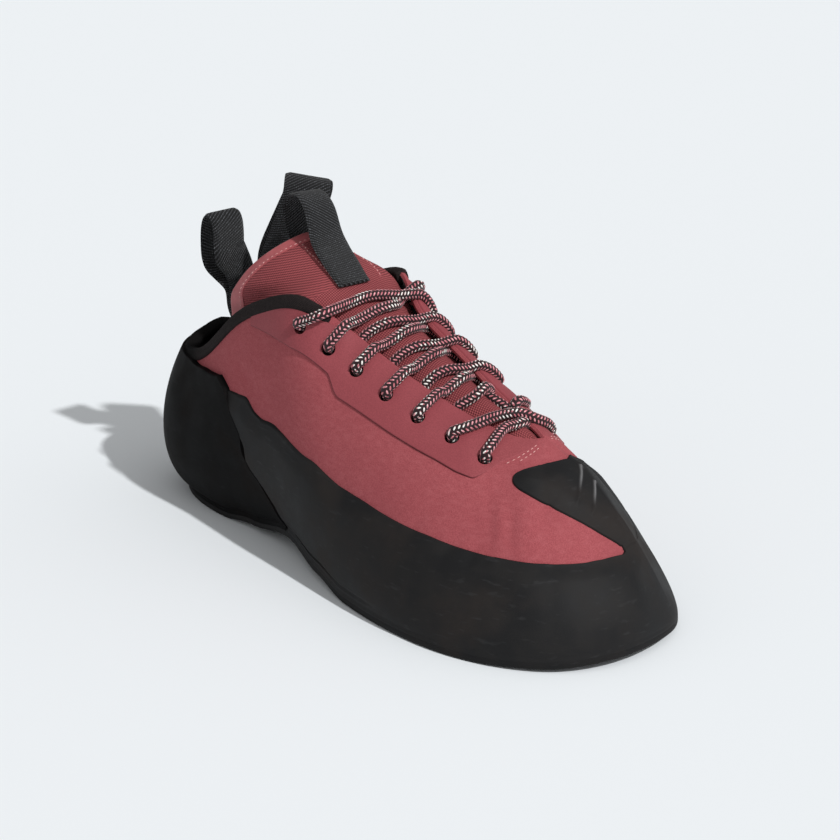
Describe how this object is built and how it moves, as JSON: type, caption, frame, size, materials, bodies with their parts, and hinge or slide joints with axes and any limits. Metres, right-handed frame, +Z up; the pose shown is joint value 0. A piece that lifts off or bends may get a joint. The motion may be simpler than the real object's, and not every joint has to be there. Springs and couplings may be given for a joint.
{
  "type": "climbing shoe",
  "caption": "Low lace-up climbing shoe for the right foot: red suede-like upper, black rubber rand, heel cup and toe patch, thin flat sole, stretch tongue and black webbing pull loops.",
  "frame": {"origin": "on the floor under the middle of the shoe's bounding box", "axes": "+X from heel to toe, +Y towards the inner (medial) side of the foot, +Z up"},
  "size_m": [0.2515, 0.0963, 0.1313],
  "materials": {
    "sole_rubber": "matte, lightly scuffed",
    "insole_board": "matte, black",
    "red_microsuede": "suede-like nap, matte",
    "red_overlay": "smooth, matte",
    "black_tape": "fine weave, matte",
    "red_mesh": "ribbed mesh, matte",
    "pale_tape": "satin",
    "black_webbing": "ribbed weave, matte",
    "lace_braid": "round braid with flecks"
  },
  "bodies": {
    "root": {"outsole": "sole_rubber", "rand": "sole_rubber", "toe_patch": "sole_rubber", "heel_cup": "sole_rubber", "insole": "insole_board", "upper": "red_microsuede", "eyestay_lateral": "red_overlay", "eyestay_medial": "red_overlay", "collar_binding": "black_tape", "tongue": "red_mesh", "tongue_binding": "pale_tape", "tongue_loop": "black_webbing", "heel_loop_rear": "black_webbing", "heel_loop_medial": "black_webbing", "lace_cross_1": "lace_braid", "lace_cross_2": "lace_braid", "lace_cross_3": "lace_braid", "lace_cross_4": "lace_braid", "lace_cross_5": "lace_braid", "lace_cross_6": "lace_braid"}
  },
  "joints": []
}
